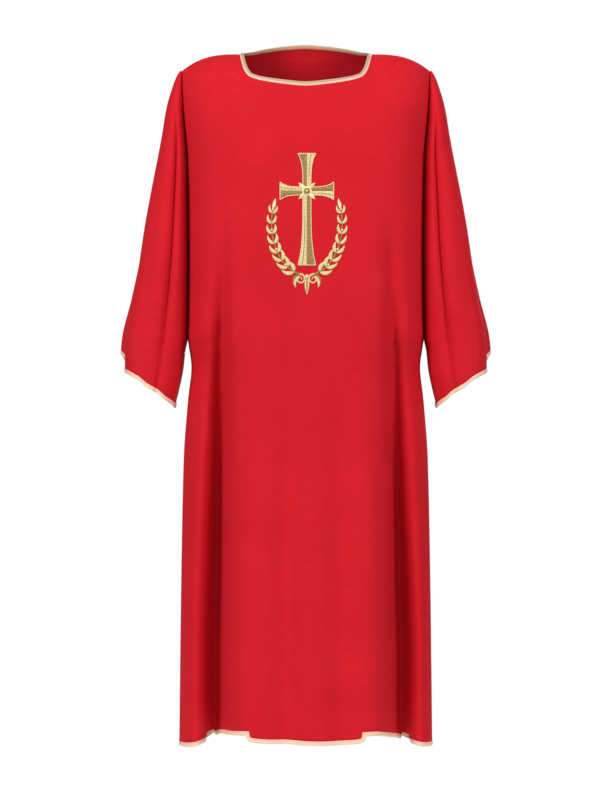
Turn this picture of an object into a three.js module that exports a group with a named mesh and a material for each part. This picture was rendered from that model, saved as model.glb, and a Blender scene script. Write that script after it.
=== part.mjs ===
// A dalmatic, hanging as it is worn, with nobody in it. Millimetres, +Z up, the front faces -Y.
// The origin lies midway between the neck ends of the two shoulder seams.
// Every sewn piece is a grid of points on its outer face, given a wall towards the inside.
import * as THREE from 'three';

// Driving sizes
const WALL = 2;                  // cloth with its interfacing
const SLEEVE_TIP_WALLS = [1, 1.1, 1.6];  // the first rows of a sleeve, too narrow for a full wall
const SEAM_GAP = 0.3;            // between two pieces sewn together
const NECK_HALF = 119;           // neck opening, half across the shoulders
const SHOULDER_HALF = 224;       // shoulder point from the centre line
const SHOULDER_DROP = 30;        // fall of the shoulder seam from the neck to the shoulder point
const SHOULDER_BEND = 2.9;       // power that keeps the seam level at the neck and steep outside
const NAPE_SLOPE = 0.5;          // rise of the cloth behind the neck, and its growth inwards
const NAPE_BEND = 0.006;
const SHOULDER_ROLL = 130;       // height in which the cloth rounds over the shoulder
const YOKE_Z = -95;              // where the rounding over the shoulder gives way to level rows
const UNDERARM_Z = -512;         // lower end of the armhole
const BINDING_GAP = 0.8;          // a binding keeps this clear of the cut edge it covers
const BINDING_WIDTH = 8;
const BINDING_THICKNESS = 4;
const BINDING_SIDES = 6;
const NORMAL_STEP = 1;           // step used to find the slope of the body
const LOOP_PASSES = 2;
const EMBLEM_THICKNESS = 1.2;
const EMBLEM_LIFT = 0.6;         // clear space under the embroidery

// Body sections: half width, how far front and back stand off the seam plane, half depth of
// the armhole, and the power that makes the section square or round.
const BODY = [
  { z: 0, halfWidth: 224, front: 94, back: 88, armhole: 42, square: 4.2 },
  { z: -95, halfWidth: 222, front: 106, back: 108, armhole: 41, square: 5 },
  { z: -200, halfWidth: 217, front: 117, back: 118, armhole: 34, square: 6.5 },
  { z: -350, halfWidth: 216, front: 120, back: 112, armhole: 23, square: 7 },
  { z: -480, halfWidth: 215, front: 118, back: 108, armhole: 8, square: 6 },
  { z: -512, halfWidth: 214, front: 118, back: 108, armhole: 2.5, square: 5 },
  { z: -526, halfWidth: 212, front: 118, back: 109, armhole: 0, square: 4.5 },
  { z: -566, halfWidth: 207, front: 118, back: 110, armhole: 0, square: 3.6 },
  { z: -624, halfWidth: 213, front: 119, back: 113, armhole: 0, square: 3 },
  { z: -733, halfWidth: 221, front: 121, back: 119, armhole: 0, square: 2.9 },
  { z: -986, halfWidth: 226, front: 127, back: 130, armhole: 0, square: 2.8 },
  { z: -1250, halfWidth: 229, front: 134, back: 140, armhole: 0, square: 2.8 },
];

// Columns of a body panel, from its centre line to its side: share of the half width lower
// down, and the distance from the centre line at the neck and shoulder.
const PANEL_COLUMNS = [
  { across: 0, top: 0 }, { across: 0.15, top: 36 }, { across: 0.31, top: 74 },
  { across: 0.42, top: 100 }, { across: 0.445, top: 110 },
  { across: 0.49, top: 116.5 }, { across: 0.55, top: 119 }, { across: 0.61, top: 137 },
  { across: 0.66, top: 149 }, { across: 0.71, top: 160 }, { across: 0.76, top: 171 },
  { across: 0.81, top: 182 }, { across: 0.87, top: 195 }, { across: 0.93, top: 208 },
  { across: 0.975, top: 218.5 }, { across: 1, top: 224 },
];
// Rows: shares of the way from the neck or shoulder to the yoke line, then level heights.
const YOKE_ROWS = [0, 0.04, 0.15, 0.35, 0.65, 1];
const ARMHOLE_ROWS = [-140, -200, -262, -330, -400, -460, UNDERARM_Z];
const SKIRT_ROWS = [-526, -560, -600, -660, -750, -860, -990, -1130];

// Neckline heights, front and back, and the hems, left to right.
const FRONT_NECK = [
  { x: 0, z: -70 }, { x: 36, z: -66.5 }, { x: 74, z: -60.5 },
  { x: 100, z: -51 }, { x: 110, z: -36 }, { x: 116.5, z: -12 }, { x: NECK_HALF, z: 0 },
];
const BACK_NECK = [
  { x: 0, z: 22 }, { x: 36, z: 19 }, { x: 74, z: 11 },
  { x: 100, z: 1.5 }, { x: 110, z: -1 }, { x: 116.5, z: -0.8 }, { x: NECK_HALF, z: 0 },
];
const FRONT_HEM = [
  { x: -229, z: -1240 }, { x: -190, z: -1232 }, { x: -171, z: -1226 }, { x: -143, z: -1213 },
  { x: -119, z: -1208 }, { x: -104, z: -1207 }, { x: -95, z: -1218 }, { x: -57, z: -1221 },
  { x: 0, z: -1223 }, { x: 58, z: -1224 }, { x: 95, z: -1220 }, { x: 104, z: -1209 },
  { x: 121, z: -1208 }, { x: 139, z: -1212 }, { x: 160, z: -1223 }, { x: 178, z: -1231 },
  { x: 195, z: -1233 }, { x: 229, z: -1240 },
];
const BACK_HEM = [
  { x: -229, z: -1240 }, { x: -150, z: -1230 }, { x: -60, z: -1236 }, { x: 20, z: -1232 },
  { x: 110, z: -1237 }, { x: 170, z: -1229 }, { x: 229, z: -1240 },
];

// Hanging folds: the height where one starts and where it is full, its place across at both,
// its full depth (a ridge where negative) and its half width at both.
const FRONT_FOLDS = [
  { start: -190, full: -980, startX: -153, fullX: -165, depth: 50, startHalf: 17, fullHalf: 24 },
  { start: -150, full: -960, startX: 156, fullX: 178, depth: 50, startHalf: 17, fullHalf: 24 },
  { start: -620, full: -1150, startX: -40, fullX: -46, depth: 5, startHalf: 26, fullHalf: 30 },
  { start: -560, full: -1150, startX: 48, fullX: 52, depth: 6, startHalf: 26, fullHalf: 30 },
];
const BACK_FOLDS = [
  { start: -160, full: -820, startX: -112, fullX: -146, depth: 34, startHalf: 24, fullHalf: 30 },
  { start: -230, full: -900, startX: 120, fullX: 152, depth: 30, startHalf: 22, fullHalf: 28 },
  { start: -420, full: -1080, startX: 14, fullX: -8, depth: 20, startHalf: 24, fullHalf: 34 },
];

// Sleeve sections: inner and outer distance from the centre line, and how far its front and
// back stand out beyond the armhole.
const SLEEVE = [
  { z: -33, inner: 224, outer: 229.5, bulge: 1 },
  { z: -40, inner: 223.9, outer: 234, bulge: 3 },
  { z: -60, inner: 223.2, outer: 241, bulge: 13 },
  { z: -95, inner: 222, outer: 251, bulge: 28 },
  { z: -154, inner: 219, outer: 261, bulge: 41 },
  { z: -262, inner: 216.6, outer: 282, bulge: 56 },
  { z: -371, inner: 216, outer: 302, bulge: 66 },
  { z: -443, inner: 215.4, outer: 318, bulge: 70 },
  { z: -512, inner: 214.8, outer: 335, bulge: 72 },
  { z: -534, inner: 218.5, outer: 337, bulge: 73 },
  { z: -570, inner: 222.5, outer: 337, bulge: 73 },
  { z: -606, inner: 230, outer: 337, bulge: 71 },
  { z: -634, inner: 237, outer: 337, bulge: 68 },
];
// One crease down the front and one down the back of each sleeve.
const SLEEVE_CREASE = { start: -80, full: -300, round: 0.19, depth: 7, half: 0.035 };
// Round a sleeve, from its inner edge over the front, the outer fold and the back.
const SLEEVE_COLUMNS = [0, 0.05, 0.1, 0.15, 0.19, 0.23, 0.29, 0.36, 0.43, 0.5];
const CUFF_ROWS = [0.1, 0.3, 0.55, 0.8, 1];
const CUFF = [
  { round: 0, z: -633 }, { round: 0.06, z: -628 }, { round: 0.15, z: -612 },
  { round: 0.25, z: -594 }, { round: 0.35, z: -577 }, { round: 0.43, z: -564 },
  { round: 0.5, z: -534 }, { round: 0.57, z: -552 }, { round: 0.7, z: -582 },
  { round: 0.85, z: -610 }, { round: 1, z: -633 },
];

// Embroidery on the chest: an upright cross between two sprays of a wreath.
const CROSS = { x: 2, top: -196, foot: -398, crossing: -262, stem: 9, flare: 17, arm: 47 };
const WREATH = { x: 2, z: -322, radiusX: 64, radiusZ: 92, from: 16, to: 104, half: 9 };
const RIBBON_STEPS = 14;

const CLOTH_RED = { color: 0xc91c28, roughness: 0.82, metalness: 0 };
const SATIN_GOLD = { color: 0xf0c8a6, roughness: 0.45, metalness: 0 };
const THREAD_GOLD = { color: 0xd8c088, roughness: 0.5, metalness: 0 };

// Reads one column of a table at a place between its rows, smoothly and without overshoot.
function read(table, key, place, column) {
  const last = table.length - 1;
  const sign = Math.sign(table[last][key] - table[0][key]);
  const where = (row) => sign * table[row][key];
  const wanted = sign * place;
  if (wanted <= where(0)) return table[0][column];
  if (wanted >= where(last)) return table[last][column];
  let row = 0;
  while (where(row + 1) < wanted) row += 1;
  const secant = (i) => (table[i + 1][column] - table[i][column]) / (where(i + 1) - where(i));
  const slope = (i) => {
    if (i === 0) return secant(0);
    if (i === last) return secant(last - 1);
    const before = secant(i - 1);
    const after = secant(i);
    return before * after <= 0 ? 0 : (2 * before * after) / (before + after);
  };
  const span = where(row + 1) - where(row);
  const t = (wanted - where(row)) / span;
  const low = table[row][column];
  const high = table[row + 1][column];
  const rise = t * t * (3 - 2 * t);
  const leave = t * (1 - t) * (1 - t) * span * slope(row);
  const arrive = t * t * (t - 1) * span * slope(row + 1);
  return low + (high - low) * rise + leave + arrive;
}

function ramp(z, start, full) {
  const t = THREE.MathUtils.clamp((z - start) / (full - start), 0, 1);
  return t * t * (3 - 2 * t);
}

function foldDepth(folds, x, z) {
  let depth = 0;
  for (const fold of folds) {
    const t = THREE.MathUtils.clamp((z - fold.start) / (fold.full - fold.start), 0, 1);
    const middle = THREE.MathUtils.lerp(fold.startX, fold.fullX, t);
    const half = THREE.MathUtils.lerp(fold.startHalf, fold.fullHalf, t);
    const away = (x - middle) / half;
    depth += fold.depth * ramp(z, fold.start, fold.full) * Math.exp(-away * away);
  }
  return depth;
}

// Height of the shoulder seam, carried on over the neck.
function ridgeHeight(x) {
  const inside = NECK_HALF - Math.abs(x);
  if (inside < 0) {
    return -SHOULDER_DROP * (-inside / (SHOULDER_HALF - NECK_HALF)) ** SHOULDER_BEND;
  }
  const bent = (2 * NECK_HALF / Math.PI) * Math.sin((Math.PI * inside) / (2 * NECK_HALF));
  return NAPE_SLOPE * bent + NAPE_BEND * bent * bent;
}

// A point of the body's outer face: side is -1 at the front and 1 at the back.
function bodyPoint(side, x, z) {
  const width = read(BODY, 'z', z, 'halfWidth') - SEAM_GAP / 2;
  const depth = read(BODY, 'z', z, side < 0 ? 'front' : 'back');
  const armhole = read(BODY, 'z', z, 'armhole');
  const across = Math.min(Math.abs(x) / width, 1);
  const bow = Math.sqrt(1 - across ** read(BODY, 'z', z, 'square'));
  const fallen = THREE.MathUtils.clamp((ridgeHeight(x) - z) / SHOULDER_ROLL, 0, 1);
  const roll = Math.sqrt(1 - (1 - fallen) ** 2);
  const folds = foldDepth(side < 0 ? FRONT_FOLDS : BACK_FOLDS, x, z) * bow;
  const stand = (armhole + (depth - armhole) * bow) * roll - folds;
  return new THREE.Vector3(x, side * Math.max(stand, SEAM_GAP / 2), z);
}

// One body panel as rows of points, from the neck and shoulders down to the hem.
function panelGrid(side, neck, hem) {
  const half = PANEL_COLUMNS.slice(1);
  const columns = [
    ...half.map((column) => ({ ...column, sign: -1 })).reverse(),
    { ...PANEL_COLUMNS[0], sign: 1 },
    ...half.map((column) => ({ ...column, sign: 1 })),
  ];
  const widthAt = (z) => read(BODY, 'z', z, 'halfWidth') - SEAM_GAP / 2;
  const rows = YOKE_ROWS.map((share) => columns.map((column) => {
    const top = column.top < NECK_HALF ? read(neck, 'x', column.top, 'z') : ridgeHeight(column.top);
    const z = THREE.MathUtils.lerp(top, YOKE_Z, share);
    const low = column.across * widthAt(YOKE_Z);
    const edge = column.across === 1 ? widthAt(z) : column.top;
    const x = THREE.MathUtils.lerp(edge, column.across === 1 ? edge : low, share);
    return bodyPoint(side, column.sign * x, z);
  }));
  for (const z of [...ARMHOLE_ROWS, ...SKIRT_ROWS]) {
    rows.push(columns.map(({ sign, across }) => bodyPoint(side, sign * across * widthAt(z), z)));
  }
  rows.push(columns.map(({ sign, across }) => {
    const x = sign * across * widthAt(hem[0].z);
    return bodyPoint(side, x, read(hem, 'x', x, 'z'));
  }));
  return rows;
}

// A point of a sleeve's outer face; round runs from the inner edge over the front to the back.
function sleevePoint(side, round, z) {
  const face = round < 0.5 ? -1 : 1;
  const over = round < 0.5 ? round * 2 : 2 - round * 2;
  const inner = read(SLEEVE, 'z', z, 'inner') + SEAM_GAP / 2;
  const outer = read(SLEEVE, 'z', z, 'outer');
  const edge = Math.abs(bodyPoint(face, read(BODY, 'z', z, 'halfWidth'), z).y);
  const bulge = read(SLEEVE, 'z', z, 'bulge');
  const arch = edge / (edge + bulge);
  const reach = arch * Math.sin((Math.PI * over) / 2) + ((1 - arch) * (1 - Math.cos(Math.PI * over))) / 2;
  const x = inner + (outer - inner) * reach;
  const away = (Math.min(round, 1 - round) - SLEEVE_CREASE.round) / SLEEVE_CREASE.half;
  const crease = SLEEVE_CREASE.depth * ramp(z, SLEEVE_CREASE.start, SLEEVE_CREASE.full)
    * Math.exp(-away * away);
  const stand = edge * Math.cos((Math.PI * over) / 2) + bulge * Math.sin(Math.PI * over) ** 0.8;
  return new THREE.Vector3(side * x, face * Math.max(stand - crease, 0), z);
}

function sleeveGrid(side) {
  const half = SLEEVE_COLUMNS.slice(0, -1);
  const rounds = [...SLEEVE_COLUMNS, ...half.map((round) => 1 - round).reverse()];
  const shoulder = ridgeHeight(SHOULDER_HALF);
  const tops = YOKE_ROWS.slice(1).map((share) => THREE.MathUtils.lerp(shoulder, YOKE_Z, share));
  const rows = [...tops, ...ARMHOLE_ROWS].map((z) => rounds.map((round) => sleevePoint(side, round, z)));
  for (const share of CUFF_ROWS) {
    rows.push(rounds.map((round) => {
      const z = THREE.MathUtils.lerp(UNDERARM_Z, read(CUFF, 'round', round, 'z'), share);
      return sleevePoint(side, round, z);
    }));
  }
  return rows;
}

// Outward normals of a grid. outward tells which way is out at a point.
function gridNormals(grid, outward) {
  return grid.map((row, i) => row.map((point, j) => {
    const down = grid[Math.min(i + 1, grid.length - 1)][j].clone();
    down.sub(grid[Math.max(i - 1, 0)][j]);
    const along = row[Math.min(j + 1, row.length - 1)].clone();
    along.sub(row[Math.max(j - 1, 0)]);
    const normal = down.cross(along).normalize();
    if (normal.dot(outward(point)) < 0) normal.negate();
    return normal;
  }));
}

// Outward normal of the body's outer face, from points a step to each side and below.
function bodyNormal(side, { x, z }) {
  const across = bodyPoint(side, x + NORMAL_STEP, z - NORMAL_STEP);
  across.sub(bodyPoint(side, x - NORMAL_STEP, z - NORMAL_STEP));
  const down = bodyPoint(side, x, z - 2 * NORMAL_STEP).sub(bodyPoint(side, x, z));
  const normal = across.cross(down).normalize();
  return side * normal.y < 0 ? normal.negate() : normal;
}

// Evens out directions round a closed loop.
function evenLoop(vectors) {
  let even = vectors;
  for (let pass = 0; pass < LOOP_PASSES; pass += 1) {
    even = even.map((vector, i) => vector.clone().multiplyScalar(2)
      .add(even[(i + 1) % even.length]).add(even.at(i - 1)).normalize());
  }
  return even;
}

function flatten(normal) {
  normal.setY(0).normalize();
}

// Builds one closed geometry from points and faces, turned so that its volume is positive.
function closedGeometry(points, faces) {
  let volume = 0;
  for (const [a, b, c] of faces) {
    volume += points[a].dot(points[b].clone().cross(points[c]));
  }
  const turned = volume > 0 ? faces : faces.map(([a, b, c]) => [a, c, b]);
  const geometry = new THREE.BufferGeometry();
  geometry.setAttribute('position', new THREE.Float32BufferAttribute(
    points.flatMap((point) => point.toArray()), 3));
  geometry.setIndex(turned.flat());
  geometry.computeVertexNormals();
  return geometry;
}

// A grid given a wall towards the inside, as thick as thickness says for each row, with its
// four edges closed.
function wallGeometry(grid, normals, thickness) {
  const columns = grid[0].length;
  const outer = grid.flat();
  const inner = grid.flatMap((row, i) => row.map((point, j) => (
    point.clone().addScaledVector(normals[i][j], -thickness(i)))));
  const points = [...outer, ...inner];
  const faces = [];
  const quad = (a, b, c, d) => faces.push([a, b, c], [a, c, d]);
  for (let i = 0; i + 1 < grid.length; i += 1) {
    for (let j = 0; j + 1 < columns; j += 1) {
      const a = i * columns + j;
      const corners = [a, a + 1, a + columns + 1, a + columns];
      quad(...corners);
      quad(...corners.map((k) => k + outer.length).reverse());
    }
  }
  const rim = [];
  for (let j = 0; j + 1 < columns; j += 1) rim.push(j);
  for (let i = 0; i + 1 < grid.length; i += 1) rim.push(i * columns + columns - 1);
  for (let j = columns - 1; j > 0; j -= 1) rim.push((grid.length - 1) * columns + j);
  for (let i = grid.length - 1; i > 0; i -= 1) rim.push(i * columns);
  rim.forEach((from, k) => {
    const to = rim[(k + 1) % rim.length];
    quad(to, from, from + outer.length, to + outer.length);
  });
  return closedGeometry(points, faces);
}

// A rounded binding along an edge: each ring stands just clear of the cloth.
function bindingGeometry(edge, normals, outs, loops) {
  const points = [];
  edge.forEach((place, i) => {
    const middle = place.clone().addScaledVector(outs[i], BINDING_GAP + BINDING_WIDTH / 2);
    middle.addScaledVector(normals[i], -WALL / 2);
    for (let k = 0; k < BINDING_SIDES; k += 1) {
      const angle = (2 * Math.PI * k) / BINDING_SIDES;
      const point = middle.clone().addScaledVector(outs[i], (Math.cos(angle) * BINDING_WIDTH) / 2);
      points.push(point.addScaledVector(normals[i], (Math.sin(angle) * BINDING_THICKNESS) / 2));
    }
  });
  const faces = [];
  const rings = loops ? edge.length : edge.length - 1;
  for (let i = 0; i < rings; i += 1) {
    for (let k = 0; k < BINDING_SIDES; k += 1) {
      const next = (k + 1) % BINDING_SIDES;
      const here = i * BINDING_SIDES;
      const there = ((i + 1) % edge.length) * BINDING_SIDES;
      faces.push([here + k, here + next, there + next], [here + k, there + next, there + k]);
    }
  }
  if (!loops) {
    const end = (edge.length - 1) * BINDING_SIDES;
    for (let k = 1; k + 1 < BINDING_SIDES; k += 1) {
      faces.push([0, k + 1, k], [end, end + k, end + k + 1]);
    }
  }
  return closedGeometry(points, faces);
}

// Directions across a closed edge and away from its cloth, towards the side that aim names.
function edgeDirections(edge, normals, aim) {
  return edge.map((point, i) => {
    const next = edge[(i + 1) % edge.length];
    const before = edge.at(i - 1);
    const out = normals[i].clone().cross(next.clone().sub(before)).normalize();
    return out.dot(aim(point)) < 0 ? out.negate() : out;
  });
}

// A flat band of embroidery that follows the front panel, moved out from its points.
function embroideryGeometry(line, halfWidth) {
  const grid = [];
  for (let i = 0; i <= RIBBON_STEPS; i += 1) {
    const share = i / RIBBON_STEPS;
    const [x, z] = line(share);
    const [nextX, nextZ] = line(share + 0.01);
    const length = Math.hypot(nextX - x, nextZ - z);
    const sideX = (nextZ - z) / length;
    const sideZ = (x - nextX) / length;
    grid.push([-1, 0, 1].map((edge) => {
      const shift = edge * halfWidth(share);
      return bodyPoint(-1, x + sideX * shift, z + sideZ * shift);
    }));
  }
  const normals = gridNormals(grid, () => new THREE.Vector3(0, -1, 0));
  const raised = grid.map((row, i) => row.map((point, j) => (
    point.clone().addScaledVector(normals[i][j], EMBLEM_LIFT + EMBLEM_THICKNESS))));
  return wallGeometry(raised, normals, () => EMBLEM_THICKNESS);
}

const group = new THREE.Group();

function addPiece(name, geometry, finish) {
  const mesh = new THREE.Mesh(geometry, new THREE.MeshStandardMaterial(finish));
  mesh.name = name;
  group.add(mesh);
}

// Front and back panels, with the hem binding of each.
const panels = [
  { name: 'front', side: -1, neck: FRONT_NECK, hem: FRONT_HEM },
  { name: 'back', side: 1, neck: BACK_NECK, hem: BACK_HEM },
].map(({ name, side, neck, hem }) => {
  const grid = panelGrid(side, neck, hem);
  const normals = gridNormals(grid, (p) => new THREE.Vector3(p.x / 300, p.y / 60, 0.35));
  const firstNeck = PANEL_COLUMNS.length - 1 - PANEL_COLUMNS.findIndex((c) => c.top === NECK_HALF);
  for (let i = 0; i < YOKE_ROWS.length; i += 1) {
    for (let j = firstNeck; j < grid[i].length - firstNeck; j += 1) {
      normals[i][j] = bodyNormal(side, grid[i][j]);
    }
  }
  normals[0].forEach((normal, j) => {
    const fromEnd = Math.min(j, normals[0].length - 1 - j);
    if (fromEnd <= firstNeck) flatten(normal);
  });
  normals.slice(YOKE_ROWS.length + ARMHOLE_ROWS.length).forEach((row) => {
    flatten(row[0]);
    flatten(row[row.length - 1]);
  });
  addPiece(`${name}_panel`, wallGeometry(grid, normals, () => WALL), CLOTH_RED);
  const hemRow = grid.at(-1);
  const down = hemRow.map(() => new THREE.Vector3(0, 0, -1));
  const hemNormals = normals.at(-1).map((normal) => normal.clone().setZ(0).normalize());
  addPiece(`hem_binding_${name}`, bindingGeometry(hemRow, hemNormals, down, false), SATIN_GOLD);
  return { top: grid[0], normals: normals[0], firstNeck };
});

// Neck binding: along the front neckline one way and along the back neckline the other.
const neckEdge = panels.map(({ top, normals, firstNeck }) => {
  const places = top.slice(firstNeck, top.length - firstNeck);
  return { places, normals: normals.slice(firstNeck, top.length - firstNeck) };
});
const neckPlaces = [...neckEdge[0].places, ...neckEdge[1].places.slice(1, -1).reverse()];
const neckNormals = evenLoop([
  ...neckEdge[0].normals, ...neckEdge[1].normals.slice(1, -1).reverse(),
]);
const neckOuts = evenLoop(edgeDirections(neckPlaces, neckNormals,
  (point) => new THREE.Vector3(-point.x, -20 - point.y, 40 - point.z)));
addPiece('neck_binding', bindingGeometry(neckPlaces, neckNormals, neckOuts, true), SATIN_GOLD);

// Sleeves, each with its cuff binding. Left is the wearer's left, at +X.
for (const { name, side } of [{ name: 'left', side: 1 }, { name: 'right', side: -1 }]) {
  const grid = sleeveGrid(side);
  const middleX = (z) => (read(SLEEVE, 'z', z, 'inner') + read(SLEEVE, 'z', z, 'outer')) / 2;
  const outward = (p) => new THREE.Vector3((p.x - side * middleX(p.z)) / 40, p.y / 60, 0.05);
  const normals = gridNormals(grid, outward);
  normals.slice(YOKE_ROWS.length - 1 + ARMHOLE_ROWS.length).forEach((row) => {
    flatten(row[0]);
    flatten(row[row.length - 1]);
  });
  const wall = (row) => SLEEVE_TIP_WALLS[row] ?? WALL;
  addPiece(`sleeve_${name}`, wallGeometry(grid, normals, wall), CLOTH_RED);
  const cuff = grid.at(-1).slice(0, -1);
  const cuffNormals = normals.at(-1).slice(0, -1).map((normal) => normal.clone().setZ(0).normalize());
  const down = cuff.map(() => new THREE.Vector3(0, 0, -1));
  addPiece(`cuff_binding_${name}`, bindingGeometry(cuff, cuffNormals, down, true), SATIN_GOLD);
}

// Embroidered cross: an upright with flared ends and two arms that stop just short of it.
const flared = (share) => CROSS.stem + (CROSS.flare - CROSS.stem) * Math.abs(share * 2 - 1) ** 5;
addPiece('emblem_upright', embroideryGeometry(
  (share) => [CROSS.x, THREE.MathUtils.lerp(CROSS.top, CROSS.foot, share)], flared), THREAD_GOLD);
for (const { name, side } of [{ name: 'left', side: 1 }, { name: 'right', side: -1 }]) {
  const from = CROSS.stem + SEAM_GAP;
  const arm = (share) => [CROSS.x + side * THREE.MathUtils.lerp(from, CROSS.arm, share), CROSS.crossing];
  const width = (share) => CROSS.stem + (CROSS.flare - CROSS.stem) * share ** 4;
  addPiece(`emblem_arm_${name}`, embroideryGeometry(arm, width), THREAD_GOLD);
  const spray = (share) => {
    const angle = THREE.MathUtils.degToRad(THREE.MathUtils.lerp(WREATH.from, WREATH.to, share));
    return [WREATH.x + side * WREATH.radiusX * Math.sin(angle), WREATH.z - WREATH.radiusZ * Math.cos(angle)];
  };
  const leafy = (share) => WREATH.half * (0.35 + 0.65 * Math.sin(Math.PI * Math.min(share + 0.1, 1)));
  addPiece(`emblem_spray_${name}`, embroideryGeometry(spray, leafy), THREAD_GOLD);
}

export default group;
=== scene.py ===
# %% [markdown]
# # A dalmatic
# A dalmatic is the wide-sleeved tunic that a deacon wears. This one is plain red vestment
# cloth, bound with pale gold satin at the neck, cuffs and hem, with gold embroidery on the
# chest. It keeps the form it has on a wearer, with nobody in it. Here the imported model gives
# the sizes and places, and every piece of cloth is laid over that form as a thin shell.

# %% Load the frame
import bpy
import math
import numpy as np
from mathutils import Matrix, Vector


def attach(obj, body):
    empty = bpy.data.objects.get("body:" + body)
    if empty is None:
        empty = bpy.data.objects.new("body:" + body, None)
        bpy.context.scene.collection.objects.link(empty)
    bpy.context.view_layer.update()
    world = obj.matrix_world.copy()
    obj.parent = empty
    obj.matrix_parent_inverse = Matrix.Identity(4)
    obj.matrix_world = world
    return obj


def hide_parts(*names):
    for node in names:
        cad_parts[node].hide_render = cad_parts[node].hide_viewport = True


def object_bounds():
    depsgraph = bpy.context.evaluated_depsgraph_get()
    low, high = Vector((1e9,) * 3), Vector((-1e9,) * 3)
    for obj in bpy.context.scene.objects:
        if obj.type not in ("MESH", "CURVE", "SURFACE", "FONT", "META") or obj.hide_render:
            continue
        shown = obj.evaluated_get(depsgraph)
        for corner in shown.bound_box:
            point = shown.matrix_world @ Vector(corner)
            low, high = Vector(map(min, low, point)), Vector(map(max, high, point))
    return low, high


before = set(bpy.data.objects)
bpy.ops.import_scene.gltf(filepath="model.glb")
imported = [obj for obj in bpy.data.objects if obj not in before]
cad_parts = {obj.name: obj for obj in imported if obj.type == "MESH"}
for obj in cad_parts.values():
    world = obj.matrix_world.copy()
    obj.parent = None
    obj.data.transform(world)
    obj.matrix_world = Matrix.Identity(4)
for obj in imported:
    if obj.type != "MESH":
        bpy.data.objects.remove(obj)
cad_low, cad_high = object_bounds()
print("CAD box, mm:", [round(1000 * v) for v in (*cad_low, *cad_high)])

# %% [markdown]
# The camera comes first. It stands straight in front, level with the middle of the garment,
# four metres away, so that the sides hardly converge. Its lens is worked out from how much
# height the frame takes in at the garment's middle plane.

# %% Camera
VIEW_HEIGHT = 1.448
VIEW_DISTANCE = 4.0
VIEW_LEVEL = -0.625
VIEW_SIDE = 0.0013
SENSOR = 36.0

bpy.ops.object.select_all(action="DESELECT")
bpy.ops.object.camera_add(
    location=(VIEW_SIDE, -VIEW_DISTANCE, VIEW_LEVEL), rotation=(math.pi / 2, 0, 0)
)
camera = bpy.context.object
camera.name = "camera"
camera.data.sensor_width = SENSOR
camera.data.lens = SENSOR * VIEW_DISTANCE / VIEW_HEIGHT
camera.data.clip_end = 200
bpy.context.scene.camera = camera
print("lens:", round(camera.data.lens, 1), "mm")

# %% [markdown]
# Colours are written as sRGB hex, as a dyer's card or a colour picker gives them, and one
# function turns them into the linear values that shaders need. One more small function adds
# a node with its settings and its links, and every material below is built with it.

# %% Colour and node helpers
def linear(hex_colour):
    channels = [int(hex_colour[i : i + 2], 16) / 255 for i in (1, 3, 5)]
    bent = [c / 12.92 if c <= 0.04045 else ((c + 0.055) / 1.055) ** 2.4 for c in channels]
    return (*bent, 1.0)


def add_node(material, kind, links=None, **settings):
    """Adds a node. Links and sockets set inputs by name; other settings are its attributes."""
    node = material.node_tree.nodes.new(kind)
    for name, value in settings.items():
        if hasattr(node, name):
            setattr(node, name, value)
    for name, value in {**settings.get("sockets", {}), **(links or {})}.items():
        socket = node.inputs[name]
        if isinstance(value, bpy.types.NodeSocket):
            material.node_tree.links.new(value, socket)
        else:
            socket.default_value = value
    return node


def new_material(name):
    material = bpy.data.materials.new(name)
    material.use_nodes = True
    material.node_tree.nodes.clear()
    return material


def finish_material(material, surface):
    add_node(material, "ShaderNodeOutputMaterial", {"Surface": surface.outputs[0]})
    print("material", material.name, "has", len(material.node_tree.nodes), "nodes")
    return material


# %% [markdown]
# The red cloth is fine polyester gabardine: matt, closely woven, with a very slight slub
# along the weft. Its threads are 0.3 mm, far too fine to show from four metres, so the slub
# is drawn 22 mm long and 1.6 mm high, which is as coarse as it has to be to show at all.
# A little sheen gives the soft, slightly lighter look where the cloth turns away.

# %% Red gabardine
WEAVE_LENGTH = 0.022
WEAVE_HEIGHT = 0.0016
COLOUR_DRIFT = 0.09


def gabardine():
    cloth = new_material("red_polyester_gabardine")
    thread_map = add_node(cloth, "ShaderNodeUVMap", uv_map="cloth")
    stretched = add_node(
        cloth,
        "ShaderNodeMapping",
        {"Vector": thread_map.outputs[0]},
        sockets={"Scale": (1 / WEAVE_LENGTH, 1 / WEAVE_HEIGHT, 1)},
    )
    slub = add_node(
        cloth,
        "ShaderNodeTexNoise",
        {"Vector": stretched.outputs[0]},
        sockets={"Scale": 1.0, "Detail": 2.0, "Roughness": 0.6},
    )
    place = add_node(cloth, "ShaderNodeTexCoord")
    drift = add_node(
        cloth,
        "ShaderNodeTexNoise",
        {"Vector": place.outputs["Object"]},
        sockets={"Scale": 1 / COLOUR_DRIFT, "Detail": 1.0},
    )
    both = add_node(
        cloth,
        "ShaderNodeMix",
        data_type="FLOAT",
        links={"Factor": 0.35, "A": slub.outputs["Fac"], "B": drift.outputs["Fac"]},
    )
    tone = add_node(cloth, "ShaderNodeValToRGB", {"Fac": both.outputs[0]})
    tone.color_ramp.elements[0].position = 0.3
    tone.color_ramp.elements[0].color = linear("#C40C1C")
    tone.color_ramp.elements[1].position = 0.72
    tone.color_ramp.elements[1].color = linear("#D41626")
    bump = add_node(
        cloth, "ShaderNodeBump", {"Height": slub.outputs["Fac"], "Strength": 0.25, "Distance": 0.0005}
    )
    surface = add_node(
        cloth,
        "ShaderNodeBsdfPrincipled",
        {"Base Color": tone.outputs["Color"], "Normal": bump.outputs[0]},
        sockets={
            "Roughness": 0.82,
            "IOR": 1.45,
            "Specular IOR Level": 0.25,
            "Sheen Weight": 0.06,
            "Sheen Roughness": 0.5,
            "Sheen Tint": linear("#F0505C"),
        },
    )
    return finish_material(cloth, surface)


RED_CLOTH = gabardine()

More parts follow.
